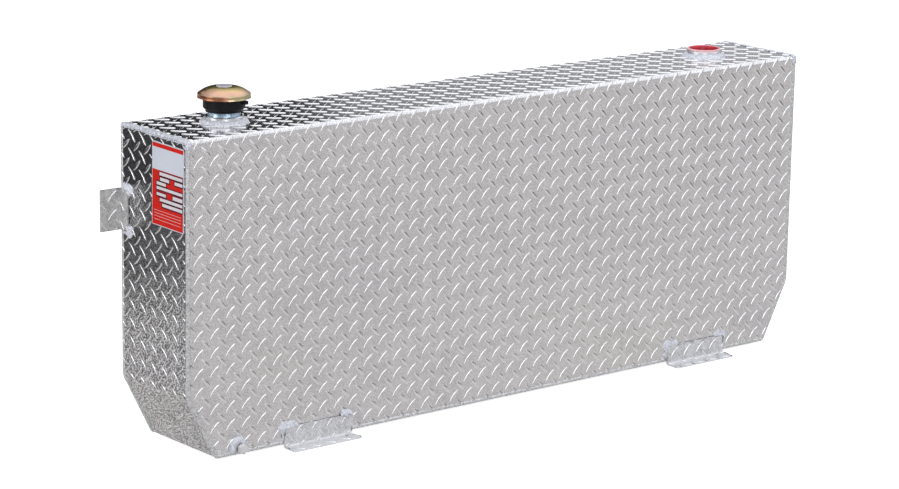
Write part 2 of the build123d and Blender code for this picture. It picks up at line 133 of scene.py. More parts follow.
def mixed(tree, factor, first, second):
    """Mix of two colours; each may be a socket or a plain colour."""
    mix = add_node(tree, "ShaderNodeMix", data_type="RGBA")
    for socket, value in ((mix.inputs[0], factor), (mix.inputs[6], first), (mix.inputs[7], second)):
        if isinstance(value, bpy.types.NodeSocket):
            tree.links.new(value, socket)
        elif isinstance(value, float):
            socket.default_value = value
        else:
            socket.default_value = (*value, 1)
    return mix.outputs[2]


def ranged(tree, value, low, high, to_low, to_high):
    """Value carried from one range to another, held at its ends."""
    change = add_node(tree, "ShaderNodeMapRange")
    tree.links.new(value, change.inputs[0])
    for index, number in enumerate((low, high, to_low, to_high), 1):
        change.inputs[index].default_value = number
    return change.outputs[0]


def combined(tree, operation, first, second):
    """Sum, product or maximum of two values; each may be a socket or a number."""
    maths = add_node(tree, "ShaderNodeMath", operation=operation)
    for socket, value in zip(maths.inputs, (first, second)):
        if isinstance(value, bpy.types.NodeSocket):
            tree.links.new(value, socket)
        else:
            socket.default_value = value
    return maths.outputs[0]


def parts_of(tree, place):
    """The x, y and z of a place."""
    parts = add_node(tree, "ShaderNodeSeparateXYZ")
    tree.links.new(place, parts.inputs[0])
    return parts.outputs


# %% [markdown]
# The camera sees a white backdrop, but the tank stands in a softer grey room,
# and its metal mirrors one that is a little lighter. A Light Path node tells
# these rays apart, so each can be set without changing the others.

# %% World
def ray_masks(tree):
    """Masks of the rays from the camera, also through glass, and of mirrored rays."""
    path = add_node(tree, "ShaderNodeLightPath")
    seen = combined(tree, "MAXIMUM", path.outputs["Is Camera Ray"], path.outputs["Is Transmission Ray"])
    return seen, path.outputs["Is Glossy Ray"]


world = bpy.data.worlds.new("studio")
bpy.context.scene.world = world
world.use_nodes = True
sky = world.node_tree
room_light, room_mirrored, backdrop = (0.58, 0.59, 0.62), (0.62, 0.63, 0.65), (1.0, 1.0, 1.0)
seen, mirrored = ray_masks(sky)
shown = mixed(sky, mirrored, room_light, room_mirrored)
sky.links.new(mixed(sky, seen, shown, backdrop), sky.nodes["Background"].inputs["Color"])

# %% [markdown]
# The floor is one plain pale sheet, with a little glow that only the camera
# sees. The metal mirrors a paved yard in its place: stones with warm and cool
# stains break up what the bars and the weld beads show.

# %% Floor
def flat_card(name, corners, material):
    """Four-cornered sheet of the studio, which isn't part of the tank."""
    mesh = bpy.data.meshes.new(name)
    mesh.from_pydata(corners, [], [(0, 1, 2, 3)])
    mesh.materials.append(material)
    card = bpy.data.objects.new(name, mesh)
    bpy.context.scene.collection.objects.link(card)
    return card


floor_paint, tree, surface = new_material("floor paint")
surface.inputs["Base Color"].default_value = (0.78, 0.775, 0.78, 1)
surface.inputs["Roughness"].default_value = 0.9
stones = add_node(tree, "ShaderNodeTexNoise", inputs={"Scale": 16.0, "Detail": 4.0, "Roughness": 0.8})
stains = add_node(tree, "ShaderNodeTexNoise", inputs={"Scale": 1.7, "Detail": 2.0})
paving = (0.56, 0.55, 0.56)
for clouds, low, high, colour in ((stones, 0.35, 0.65, (0.75, 0.74, 0.75)),
                                  (stones, 0.40, 0.60, (0.66, 0.65, 0.635)),
                                  (stains, 0.42, 0.60, (0.645, 0.65, 0.69))):
    share = ranged(tree, clouds.outputs["Fac"], low, high, 0.0, 1.0)
    paving = mixed(tree, share, paving, colour)
seen, mirrored = ray_masks(tree)
yard = add_node(tree, "ShaderNodeEmission")
glow = add_node(tree, "ShaderNodeEmission")
choice = add_node(tree, "ShaderNodeMixShader")
both = add_node(tree, "ShaderNodeAddShader")
for source, socket in ((paving, yard.inputs["Color"]),
                       (combined(tree, "MULTIPLY", seen, 0.78), glow.inputs["Strength"]),
                       (mirrored, choice.inputs[0]),
                       (surface.outputs[0], choice.inputs[1]),
                       (yard.outputs[0], choice.inputs[2]),
                       (choice.outputs[0], both.inputs[0]),
                       (glow.outputs[0], both.inputs[1]),
                       (both.outputs[0], tree.nodes["Material Output"].inputs["Surface"])):
    tree.links.new(source, socket)
flat_card("floor", [(-14, -14, 0), (14, -14, 0), (14, 14, 0), (-14, 14, 0)], floor_paint)

# %% [markdown]
# A card is a flat sheet that glows dimly and is hidden from all rays but the
# mirrored ones, so it shades nothing. Its paint may change along one axis,
# because the top of the tank gets lighter towards the right.

# %% Cards
def card_for_mirrors(card):
    """Hides a card from all but reflections."""
    card.visible_camera = False
    card.visible_diffuse = False
    card.visible_shadow = False
    card.visible_transmission = False


def card_paint(name, axis, steps, dark, light):
    """Glowing paint that goes from dark to light along one axis, in steps."""
    paint, tree, surface = new_material(name)
    where = add_node(tree, "ShaderNodeNewGeometry")
    along_axis = parts_of(tree, where.outputs["Position"])[axis]
    shade = 0.0
    for start, end, share in steps:
        shade = combined(tree, "ADD", shade, ranged(tree, along_axis, start, end, 0.0, share))
    glow = add_node(tree, "ShaderNodeEmission")
    tree.links.new(mixed(tree, shade, dark, light), glow.inputs["Color"])
    tree.links.new(glow.outputs[0], tree.nodes["Material Output"].inputs["Surface"])
    return paint


for name, corners, paint in (
        ("card_low", [(-2.6, 0.95, 0), (-0.85, 0.95, 0), (-0.85, 0.95, 0.5), (-2.6, 0.95, 0.5)],
         card_paint("low card paint", 2, [(0.25, 0.0, 1.0)], (0.05, 0.05, 0.055), (0.25, 0.25, 0.255))),
        ("card_high", [(-0.85, 0.95, 0.68), (2.8, 0.95, 0.68), (2.8, 0.95, 1.3), (-0.85, 0.95, 1.3)],
         card_paint("high card paint", 0, [(0.26, 0.44, 0.6), (0.5, 1.8, 0.4)],
                    (0.002, 0.003, 0.004), (0.41, 0.415, 0.43))),
        ("card_right", [(3.4, -2.7, 0.3), (3.4, 2.0, 0.3), (3.4, 2.0, 1.3), (3.4, -2.7, 1.3)],
         card_paint("dark card paint", 2, [(0.3, 1.3, 1.0)], (0.05, 0.05, 0.052), (0.09, 0.09, 0.092)))):
    card_for_mirrors(flat_card(name, corners, paint))

# %% [markdown]
# One shader group makes the small unevenness that every finish here shares:
# a fine grain and broad clouds of handling marks. It puts out plain values,
# and each material turns these into its own colour, roughness and bump. A
# second group pulls its noise out into lines, for sheets that are scratched.

# %% Shared grain group
grain = bpy.data.node_groups.new("grain", "ShaderNodeTree")
for socket_name, start in (("Fine", 400.0), ("Broad", 9.0)):
    made = grain.interface.new_socket(socket_name, in_out="INPUT", socket_type="NodeSocketFloat")
    made.default_value = start
for socket_name in ("Fine", "Broad", "Height"):
    grain.interface.new_socket(socket_name, in_out="OUTPUT", socket_type="NodeSocketFloat")
inlet = add_node(grain, "NodeGroupInput")
outlet = add_node(grain, "NodeGroupOutput")
place = add_node(grain, "ShaderNodeTexCoord")
for name, detail in (("Fine", 2.0), ("Broad", 5.0)):
    clouds = add_node(grain, "ShaderNodeTexNoise", inputs={"Detail": detail, "Roughness": 0.6})
    grain.links.new(place.outputs["Object"], clouds.inputs["Vector"])
    grain.links.new(inlet.outputs[name], clouds.inputs["Scale"])
    grain.links.new(clouds.outputs["Fac"], outlet.inputs[name])
    if name == "Fine":
        grain.links.new(clouds.outputs["Fac"], outlet.inputs["Height"])

# %% Shared scratch group
scratch = bpy.data.node_groups.new("scratch", "ShaderNodeTree")
for socket_name, kind in (("Stretch", "NodeSocketVector"), ("Amount", "NodeSocketFloat")):
    scratch.interface.new_socket(socket_name, in_out="INPUT", socket_type=kind)
scratch.interface.new_socket("Mask", in_out="OUTPUT", socket_type="NodeSocketFloat")
inlet = add_node(scratch, "NodeGroupInput")
outlet = add_node(scratch, "NodeGroupOutput")
place = add_node(scratch, "ShaderNodeTexCoord")
pulled = add_node(scratch, "ShaderNodeVectorMath", operation="MULTIPLY")
scratch.links.new(place.outputs["Object"], pulled.inputs[0])
scratch.links.new(inlet.outputs["Stretch"], pulled.inputs[1])
lines = add_node(scratch, "ShaderNodeTexNoise", inputs={"Scale": 1.0, "Detail": 3.0, "Roughness": 0.7})
scratch.links.new(pulled.outputs[0], lines.inputs["Vector"])
sharp = ranged(scratch, lines.outputs["Fac"], 0.60, 0.72, 0.0, 1.0)
scratch.links.new(combined(scratch, "MULTIPLY", sharp, inlet.outputs["Amount"]), outlet.inputs["Mask"])

# %% [markdown]
# All the finishes follow one recipe: the grain and the clouds together say
# how dull or bright a spot is, and that level sets its colour and its gloss.
# So one function makes them all. A low share gives mostly clouds, and a small
# sharp value gives crisp specks.

# %% Recipe of a finish
def metal(name, dull, bright, rough, fine=400.0, broad=9.0, sharp=0.2, share=0.4, bump=0.1,
          depth=0.0004, stretch=None, scratches=0.0, metallic=1.0):
    """Finish whose colour and gloss change with the shared grain and scratches."""
    material, tree, surface = new_material(name)
    marks = add_node(tree, "ShaderNodeGroup", node_tree=grain, inputs={"Fine": fine, "Broad": broad})
    clouds = ranged(tree, marks.outputs["Broad"], 0.3, 0.7, 0.0, 1.0 - share)
    grains = ranged(tree, marks.outputs["Fine"], 0.5 - sharp, 0.5 + sharp, 0.0, share)
    level = combined(tree, "ADD", clouds, grains)
    roughness = ranged(tree, level, 0.0, 1.0, rough[1], rough[0])
    if stretch:
        lines = add_node(tree, "ShaderNodeGroup", node_tree=scratch,
                         inputs={"Stretch": stretch, "Amount": scratches})
        level = combined(tree, "ADD", level, lines.outputs["Mask"])
    tree.links.new(mixed(tree, level, dull, bright), surface.inputs["Base Color"])
    tree.links.new(roughness, surface.inputs["Roughness"])
    surface.inputs["Metallic"].default_value = metallic
    relief = add_node(tree, "ShaderNodeBump", inputs={"Strength": bump, "Distance": depth})
    tree.links.new(marks.outputs["Height"], relief.inputs["Height"])
    tree.links.new(relief.outputs[0], surface.inputs["Normal"])
    return material


# %% [markdown]
# Tread plate has two finishes in one sheet. The rolled flats are matt, with
# fine speckle and rubbed patches; the raised bars are polished by the roll.
# On the ends, the flats' strong dark and bright specks are partly a painted
# reflection of gravel, over the sheet's own grain.
# The other finishes are weld metal, cut edges, castings, plastic and inks.

# %% Finishes
finish = {
    "tread_sheet": metal("tread flats", (0.56, 0.551, 0.560), (0.91, 0.897, 0.91), (0.14, 0.27),
                         fine=420.0, broad=34.0, sharp=0.1, share=0.72, bump=0.12, depth=0.0005,
                         stretch=(60.0, 60.0, 900.0), scratches=0.15),
    # End flats: the sharp dark and bright specks are partly a painted reflection of gravel.
    "end_sheet": metal("end flats and painted gravel reflection", (0.12, 0.12, 0.125), (0.90, 0.89, 0.90), (0.14, 0.3),
                       fine=360.0, broad=34.0, sharp=0.045, share=0.9, bump=0.3, depth=0.0008),
    "tread_bar": metal("tread bars", (0.80, 0.79, 0.80), (0.97, 0.96, 0.97), (0.12, 0.2),
                       fine=300.0, broad=30.0, bump=0.08, depth=0.0004),
    "end_bar": metal("end bars", (0.62, 0.62, 0.62), (0.98, 0.98, 0.98), (0.12, 0.2),
                     fine=250.0, broad=30.0, sharp=0.12, share=0.8, bump=0.1, depth=0.0005),
    "plain_sheet": metal("plain sheet", (0.6, 0.6, 0.6), (0.78, 0.78, 0.78), (0.3, 0.42)),
    "weld_bead": metal("weld bead", (0.26, 0.28, 0.34), (0.95, 0.96, 1.0), (0.22, 0.45),
                       fine=430.0, broad=210.0, sharp=0.09, share=0.5, bump=0.8, depth=0.0012,
                       metallic=0.3),
    # Bright beads: the dark bluish specks are partly painted shade, scattered at random over the weld's
    # own grain.
    "bright_bead": metal("bright bead", (0.40, 0.43, 0.54), (1.0, 1.0, 1.0), (0.22, 0.45),
                         fine=480.0, broad=230.0, sharp=0.05, share=0.5, bump=1.0, depth=0.0014,
                         metallic=0.12),
    "seam_bead": metal("seam bead", (0.34, 0.34, 0.35), (0.95, 0.95, 0.96), (0.26, 0.45),
                       fine=330.0, broad=120.0, sharp=0.12, share=0.6, bump=0.4, depth=0.0008,
                       metallic=0.75),
    "angle_sheet": metal("angle sheet", (0.44, 0.436, 0.44), (0.86, 0.855, 0.87), (0.26, 0.42),
                         fine=380.0, broad=50.0, sharp=0.12, share=0.6, bump=0.25, depth=0.0007,
                         stretch=(90.0, 700.0, 700.0), scratches=0.45, metallic=0.3),
    "bracket_sheet": metal("bracket sheet", (0.29, 0.285, 0.28), (0.68, 0.67, 0.66), (0.3, 0.45),
                           fine=380.0, broad=50.0, sharp=0.12, share=0.6, bump=0.2, depth=0.0007,
                           metallic=0.05),
    "cut_edge": metal("cut edge", (0.86, 0.87, 0.9), (0.99, 0.99, 1.0), (0.16, 0.3),
                      fine=500.0, broad=60.0, bump=0.2),
    "angle_bar": metal("angle bars", (0.72, 0.72, 0.73), (0.96, 0.96, 0.97), (0.16, 0.26),
                       fine=300.0, broad=30.0, bump=0.08, depth=0.0004, metallic=0.85),
    "bung_metal": metal("bung metal", (0.55, 0.56, 0.58), (0.85, 0.86, 0.88), (0.2, 0.36),
                        fine=400.0, broad=60.0),
    # The galvanised pipe's strong blue is a painted sky reflection.
    "galvanised_pipe": metal("galvanised pipe", (0.22, 0.36, 0.47), (0.72, 0.84, 0.95), (0.18, 0.36),
                             fine=420.0, broad=110.0, sharp=0.12, bump=0.25),
    "black_casting": metal("black casting", (0.003, 0.003, 0.004), (0.010, 0.010, 0.013), (0.28, 0.5),
                           fine=900.0, broad=70.0, bump=0.35, metallic=0.0),
    "gasket_rubber": metal("gasket rubber", (0.02, 0.02, 0.02), (0.05, 0.05, 0.05), (0.6, 0.8),
                           metallic=0.0, bump=0.3),
    "plated_steel": metal("plated steel", (0.5, 0.46, 0.32), (0.75, 0.7, 0.5), (0.2, 0.35)),
    "spring_steel": metal("spring steel", (0.4, 0.42, 0.45), (0.6, 0.62, 0.66), (0.2, 0.3)),
    "rivet_metal": metal("rivet metal", (0.5, 0.47, 0.55), (0.72, 0.69, 0.78), (0.2, 0.35),
                         metallic=0.3),
    "red_plastic": metal("red plastic", (0.46, 0.008, 0.022), (0.68, 0.018, 0.045), (0.22, 0.4),
                         fine=300.0, broad=60.0, metallic=0.0, bump=0.1),
    "drain_metal": metal("drain metal", (0.5, 0.49, 0.5), (0.8, 0.79, 0.8), (0.3, 0.45),
                         fine=500.0, broad=90.0, bump=0.2, metallic=0.35),
    "tag_film": metal("tag film", (0.54, 0.575, 0.64), (0.64, 0.665, 0.73), (0.4, 0.55),
                      metallic=0.0, bump=0.03),
    "red_ink": metal("red ink", (0.52, 0.008, 0.003), (0.66, 0.014, 0.005), (0.5, 0.65),
                     fine=500.0, broad=40.0, metallic=0.0, bump=0.05),
    "pale_ink": metal("pale ink", (0.6, 0.56, 0.58), (0.72, 0.67, 0.69), (0.4, 0.55),
                      metallic=0.0, bump=0.03),
    "dark_ink": metal("dark ink", (0.07, 0.006, 0.012), (0.13, 0.01, 0.02), (0.45, 0.6),
                      metallic=0.0, bump=0.03),
}


def opened(name):
    """Tree of a finish, its Principled BSDF and the socket that gives its colour."""
    tree = finish[name].node_tree
    surface = tree.nodes["Principled BSDF"]
    return tree, surface, surface.inputs["Base Color"].links[0].from_socket


for name, level in (("red_ink", 0.14), ("dark_ink", 0.14), ("black_casting", 0.17)):
    opened(name)[1].inputs["Specular IOR Level"].default_value = level

# %% [markdown]
# The cap is steel with yellow zinc plating. Such plating is a thin film, so
# its colour runs from olive through gold to salmon as the film gets thinner.
# A colour ramp follows the distance from the cap's middle, and the shared
# clouds push it in and out so that no ring is even. Low on the rim's left
# side, a dark red is painted in as a reflection.

# %% Yellow zinc plating
filler_x, port_x, drain_x, drain_z = -619 * mm, 612 * mm, -665 * mm, 22.5 * mm
cap_radius = 50.8 * mm


def reach_from(tree, place, x):
    """Distance of a place from the upright axis at x."""
    level_part = add_node(tree, "ShaderNodeVectorMath", operation="MULTIPLY_ADD")
    level_part.inputs[1].default_value = (1, 1, 0)
    level_part.inputs[2].default_value = (-x, 0, 0)
    tree.links.new(place, level_part.inputs[0])
    length = add_node(tree, "ShaderNodeVectorMath", operation="LENGTH")
    tree.links.new(level_part.outputs[0], length.inputs[0])
    return length.outputs["Value"]


plating, tree, surface = new_material("yellow zinc plating")
place = add_node(tree, "ShaderNodeTexCoord").outputs["Object"]
marks = add_node(tree, "ShaderNodeGroup", node_tree=grain, inputs={"Fine": 900.0, "Broad": 26.0})
sway = ranged(tree, marks.outputs["Broad"], 0.3, 0.7, -0.13, 0.13)
to_rim = ranged(tree, reach_from(tree, place, filler_x), 0.0, cap_radius, 0.0, 1.0)
film = combined(tree, "ADD", to_rim, sway)
ramp = add_node(tree, "ShaderNodeValToRGB")
stops = [(0.0, (0.26, 0.24, 0.08)), (0.40, (0.40, 0.35, 0.12)), (0.60, (0.66, 0.50, 0.21)),
         (0.78, (0.74, 0.46, 0.30)), (0.92, (0.68, 0.42, 0.31)), (1.0, (0.50, 0.44, 0.25))]
while len(ramp.color_ramp.elements) < len(stops):
    ramp.color_ramp.elements.new(0.5)
for element, (spot, colour) in zip(ramp.color_ramp.elements, stops):
    element.position = spot
    element.color = (*colour, 1)
tree.links.new(film, ramp.inputs[0])
x, y, z = parts_of(tree, place)
# Painted reflection: the low edge of the rim on the cap's left side is painted dark red.
low_edge = ranged(tree, z, 672.5 * mm, 674.5 * mm, 1.0, 0.0)
left_side = ranged(tree, x, -652 * mm, -636 * mm, 1.0, 0.0)
painted_dark_reflection = combined(tree, "MULTIPLY", low_edge, combined(tree, "MULTIPLY", left_side, 0.75))
tree.links.new(mixed(tree, painted_dark_reflection, ramp.outputs[0], (0.30, 0.055, 0.02)), surface.inputs["Base Color"])
tree.links.new(ranged(tree, marks.outputs["Broad"], 0.3, 0.7, 0.2, 0.34), surface.inputs["Roughness"])
surface.inputs["Metallic"].default_value = 0.92
relief = add_node(tree, "ShaderNodeBump", inputs={"Strength": 0.05, "Distance": 0.0003})
tree.links.new(marks.outputs["Height"], relief.inputs["Height"])
tree.links.new(relief.outputs[0], surface.inputs["Normal"])
finish["gold_plating"] = plating

# %% [markdown]
# The red plug's rim is painted much paler than its cup: a painted highlight of
# the light on its rounded lip. A mask by the distance from the plug's middle
# paints that highlight onto the rim, and one by height paints shade into the
# deep cup.

# %% Painted highlight on the plug's rim, painted shade in its cup
tree, surface, red = opened("red_plastic")
place = add_node(tree, "ShaderNodeTexCoord").outputs["Object"]
# Painted highlight: the rim is mixed towards pale pink. Painted shade: the cup gets darker with depth.
rim = ranged(tree, reach_from(tree, place, port_x), 30.2 * mm, 32.2 * mm, 0.0, 0.9)
painted_cup_shade = ranged(tree, parts_of(tree, place)[2], 620 * mm, 633 * mm, 0.8, 0.0)
red_with_cup_shade = mixed(tree, painted_cup_shade, red, (0.2, 0.003, 0.018))
tree.links.new(mixed(tree, rim, red_with_cup_shade, (0.95, 0.60, 0.62)), surface.inputs["Base Color"])

# %% [markdown]
# The flanges of the feet face the sky, so a pale bluish sky reflection is
# painted onto them and makes them paler than the upright legs, which are cut
# from the same sheet.

# %% Painted sky reflection on the flanges
tree, surface, angle_colour = opened("angle_sheet")
place = add_node(tree, "ShaderNodeTexCoord").outputs["Object"]
# Painted reflection: the low flanges are mixed towards a pale bluish white.
painted_sky_reflection = ranged(tree, parts_of(tree, place)[2], 4 * mm, 8 * mm, 0.5, 0.0)
tree.links.new(mixed(tree, painted_sky_reflection, angle_colour, (0.96, 0.97, 1.0)), surface.inputs["Base Color"])

# %% [markdown]
# Each CAD piece takes the finish of its slot, and only the end wall and the
# brackets have one of their own. The sheared edges of the feet and brackets
# shine more than their sheet. A Bevel modifier rounds these edges and gives
# the rounding a second material, so the CAD mesh itself isn't touched. The
# drain plug's hexagon is rounded too, but keeps one finish.

# %% Finishes onto the CAD pieces
sheared_rounding, hexagon_rounding = 1.3 * mm, 0.7 * mm
for part in frame["record"]["subparts"]:
    mesh = nodes[part["node"]].data
    mesh.materials.clear()
    mesh.materials.append(finish[part["material_slot"]])
nodes["end_wrap"].data.materials[0] = finish["end_sheet"]
feet = [f"foot_{row}_{end}" for row in ("front", "back") for end in ("left", "right")]
brackets = ["bracket_left", "bracket_right"]
for name in brackets:
    nodes[name].data.materials[0] = finish["bracket_sheet"]
for name in feet + brackets + ["drain_plug"]:
    sheared = name != "drain_plug"
    rounded_edge = nodes[name].modifiers.new("rounded edge", "BEVEL")
    rounded_edge.width = sheared_rounding if sheared else hexagon_rounding
    rounded_edge.segments = 3
    rounded_edge.limit_method = "ANGLE"
    rounded_edge.angle_limit = math.radians(40)
    if sheared:
        nodes[name].data.materials.append(finish["cut_edge"])
        rounded_edge.material = 1
print("finishes:", len(finish))

# %% [markdown]
# The raised bars are real geometry, because their flanks catch the lamps. A
# rolled sheet carries them in one unbroken pattern, also round its folds. So
# a bar is set out on the flat sheet, by how far it lies along the fold line
# and across it, and each of its points is then carried onto the folded sheet.

# %% Folded sheets
half_length, half_depth, bottom, top = 777 * mm, 107.5 * mm, 8 * mm, 618 * mm
sheet, rise = 3.2 * mm, 1.4 * mm
cut_run, cut_rise = 64 * mm, 124 * mm
fold_radius, slant_radius = 8 * mm, 36 * mm


def folded_run(corners, radii):
    """Straight runs and arcs of an outline with rounded corners."""
    corners = [np.array(c, float) for c in corners]
    pieces, start = [], corners[0]
    for before, corner, after, radius in zip(corners, corners[1:], corners[2:], radii):
        ahead = (corner - before) / np.linalg.norm(corner - before)
        onward = (after - corner) / np.linalg.norm(after - corner)
        turn = math.atan2(ahead[0] * onward[1] - ahead[1] * onward[0], ahead @ onward)
        cut = radius * math.tan(abs(turn) / 2)
        end = corner - ahead * cut
        pieces.append((start, ahead, np.linalg.norm(end - start), 0.0))
        pieces.append((end, ahead, radius * abs(turn), math.copysign(1 / radius, turn)))
        start = corner + onward * cut
    pieces.append((start, onward, np.linalg.norm(corners[-1] - start), 0.0))
    return pieces


def run_length(run):
    """Length of the outline along its runs and arcs."""
    return sum(piece[2] for piece in run)


def along(run, s, left=True):
    """Points and normals of the outline at the lengths s; left says which side is out."""
    s = np.asarray(s, float)
    points, normals = np.zeros((len(s), 2)), np.zeros((len(s), 2))
    passed = 0.0
    for index, (start, ahead, length, bend) in enumerate(run):
        here = (s >= passed) | (index == 0)
        q = s[here] - passed
        angle = math.atan2(ahead[1], ahead[0])
        if bend:
            now = angle + bend * q
            points[here, 0] = start[0] + (np.sin(now) - math.sin(angle)) / bend
            points[here, 1] = start[1] - (np.cos(now) - math.cos(angle)) / bend
        else:
            now = angle + 0 * q
            points[here] = start + q[:, None] * ahead
        sign = 1 if left else -1
        normals[here, 0] = -np.sin(now) * sign
        normals[here, 1] = np.cos(now) * sign
        passed += length
    return points, normals


slant = math.atan2(cut_run, cut_rise)
saddle_run = folded_run([(-half_depth, bottom), (-half_depth, top), (half_depth, top),
                         (half_depth, bottom)], [fold_radius, fold_radius])


def wrap_run(inset):
    """Outline of the sheet round the ends and the bottom, this far inside it."""
    side = half_length - inset
    low = half_length - cut_run - inset * math.tan((math.pi / 2 - slant) / 2)
    z_cut, z_low = bottom + cut_rise + inset * math.tan(slant / 2), bottom + inset
    corners = [(-side, top), (-side, z_cut), (-low, z_low), (low, z_low), (side, z_cut), (side, top)]
    radii = (slant_radius, fold_radius, fold_radius, slant_radius)
    return folded_run(corners, [radius - inset for radius in radii])


end_run = wrap_run(0)
print("saddle sheet %.3f m, wrap sheet %.3f m" % (run_length(saddle_run), run_length(end_run)))

# %% [markdown]
# Each piece that the scene adds is a mesh made from points and faces. It
# takes a finish, given itself or looked up by a slot's name, and the body that
# it rides on, so it follows its body in every pose.

# %% New pieces
def finished(name, points, faces, slot, material=None, body="tank", smooth=True):
    """Mesh piece with its material, or the finish named by its slot, and the body that it rides on."""
    mesh = bpy.data.meshes.new(name)
    mesh.from_pydata([tuple(p) for p in points], [], [tuple(f) for f in faces])
    mesh.materials.append(material or finish[slot])
    if smooth:
        mesh.shade_smooth()
    piece = bpy.data.objects.new(name, mesh)
    bpy.context.scene.collection.objects.link(piece)
    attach(piece, body)
    return piece


# %% [markdown]
# One bar is a long lens, about 30 by 7 mm, with a rounded back 1.4 mm high.
# It is made once as a small grid, with narrow or with broad flanks, and then
# placed thousands of times. Bars that lean one way and bars that lean the
# other way sit on two lattices, half a step apart. On the front, the bars that
# lean left have the broad flanks. Low on the ends and on the bottom, where
# the sheet is rubbed, all the bars are nearly flat. Every bar is sunk a hair
# into its sheet, so that no gap shows under its rim.

# %% Bars of the tread
bar_length, bar_width = 31.5 * mm, 7.0 * mm
narrow_flank, broad_flank = 1.35 * mm, 2.5 * mm
sunk, worn_height, tiny_area = 0.04 * mm, 0.16, 1e-8
rows = np.array([-0.96, -0.82, -0.58, -0.3, 0.0, 0.3, 0.58, 0.82, 0.96])


def bar_grid(flank):
    """Points of one bar (along, across, height), its faces and which are its back."""
    points = []
    for u in rows:
        half = bar_width / 2 * (1 - u * u) ** 0.85
        ledge = [0.0, min(0.5 * flank, 0.45 * half), min(1.1 * flank, 0.85 * half)]
        across = [d - half for d in ledge] + [0.0] + [half - d for d in reversed(ledge)]
        for v in across:
            inward = min(1.0, (half - abs(v)) / flank)
            points.append((u * bar_length / 2, v, rise * math.sin(math.pi / 2 * inward) - sunk))
    count = len(across)
    faces, backs = [], []
    for i in range(len(rows) - 1):
        for j in range(count - 1):
            a = i * count + j
            faces.append((a, a + count, a + count + 1, a + 1))
            backs.append(j in (2, 3) and 0 < i < len(rows) - 2)
    tips = len(points)
    points += [(-bar_length / 2, 0, -sunk), (bar_length / 2, 0, -sunk)]
    last = (len(rows) - 1) * count
    for j in range(count - 1):
        faces.append((tips, j, j + 1, j + 1))
        faces.append((tips + 1, last + j + 1, last + j, last + j))
        backs += [False, False]
    return np.array(points), np.array(faces), np.array(backs)


bar_points, bar_faces, bar_backs = bar_grid(narrow_flank)
broad_points = bar_grid(broad_flank)[0]


def lattice(start, step, low, high):
    """Places from low to high on a line of equal steps."""
    first = math.ceil((low - start) / step)
    return start + step * np.arange(first, math.floor((high - start) / step) + 1)


def face_areas(corners):
    """Measure of each face's area, near zero where the limits squashed it flat."""
    def spanned(a, b, c, d):
        first, second = corners[:, b] - corners[:, a], corners[:, d] - corners[:, c]
        return np.linalg.norm(np.cross(first, second), axis=1)
    return spanned(0, 2, 1, 3) + spanned(0, 1, 0, 2)


def tread(name, run, left, place, bars, keep=None, slot="tread_sheet", flats="tread_sheet",
          flanks="tread_bar", limits=None, worn=(1, 0), broad=0, seed=1):
    """Bars at (along, across, lean) carried onto a folded run and trimmed.

    Bars with the lean broad have broad flanks, and bars between the two places
    in worn are nearly flat. Limits hold every point back from a plate's edges.
    """
    chance = np.random.default_rng(seed)
    points, faces = [], []
    low = [worn[0] < s0 < worn[1] for s0, w0, lean in bars]
    for index, (s0, w0, lean) in enumerate(bars):
        grid = broad_points if lean == broad else bar_points
        size = 1 + chance.uniform(-0.03, 0.03)
        turn = math.atan2(1, lean) + chance.uniform(-0.015, 0.015)
        u, v = grid[:, 0] * size, grid[:, 1]
        w = w0 + u * math.cos(turn) - v * math.sin(turn)
        s = s0 + u * math.sin(turn) + v * math.cos(turn)
        if limits:
            s, w = np.clip(s, *limits[0]), np.clip(w, *limits[1])
        spot, out = along(run, s, left)
        lifted = spot + out * grid[:, 2:3] * (worn_height if low[index] else 1.0)
        faces.append(bar_faces + index * len(grid))
        points.append(place(lifted, w))
    backs = np.concatenate([bar_backs | flat for flat in low])
    points, faces = np.concatenate(points), np.concatenate(faces)
    wanted = keep(points[faces].mean(axis=1)) if keep else np.full(len(faces), True)
    if limits:
        wanted &= face_areas(points[faces]) > tiny_area
    faces, backs = faces[wanted], backs[wanted]
    used, faces = np.unique(faces, return_inverse=True)
    faces, points = faces.reshape(-1, 4), points[used]
    a, b, c = (points[faces[0][k]] for k in range(3))
    spot, out = along(run, [bars[0][0]], left)
    across = np.array([bars[0][1]])
    outward = (place(spot + out, across) - place(spot, across))[0]
    if np.cross(b - a, c - a) @ outward < 0:
        faces = faces[:, ::-1]
    faces = [[k for i, k in enumerate(f) if k not in f[:i]] for f in faces.tolist()]
    piece = finished(name, points, faces, slot, finish[flanks])
    piece.data.materials.append(finish[flats])
    piece.data.polygons.foreach_set("material_index", backs.astype(int))
    print(name, "bars:", len(bars), "faces:", len(faces))


# %% [markdown]
# On the real tank the torch melts the bars beside a weld, and the tag, the
# feet and the brackets cover others. Cutting each bar with a modifier would be
# slow, so the small faces whose middles lie in such places are left out.

# %% Where the bars are left out
foot_places = {"left": -478 * mm, "right": 510 * mm}
foot_half, foot_leg = 80 * mm, 41 * mm
edge_gap, bung_reach, drain_reach = 5.6 * mm, 44 * mm, 18 * mm
tag_middle, tag_half = (-47.5 * mm, 523 * mm), (50 * mm, 77.5 * mm)
bracket_low, bracket_high, bracket_leg = 415 * mm, 495 * mm, 26 * mm


def inside_cut(p, gap):
    """True where a point of the front or back is this far inside its edges."""
    x, z = np.abs(p[:, 0]), p[:, 2]
    slope = ((half_length - x) * cut_rise + (z - bottom) * cut_run - cut_rise * cut_run) \
        / math.hypot(cut_rise, cut_run)
    return (x < half_length - gap) & (z > bottom + gap) & (slope > gap)


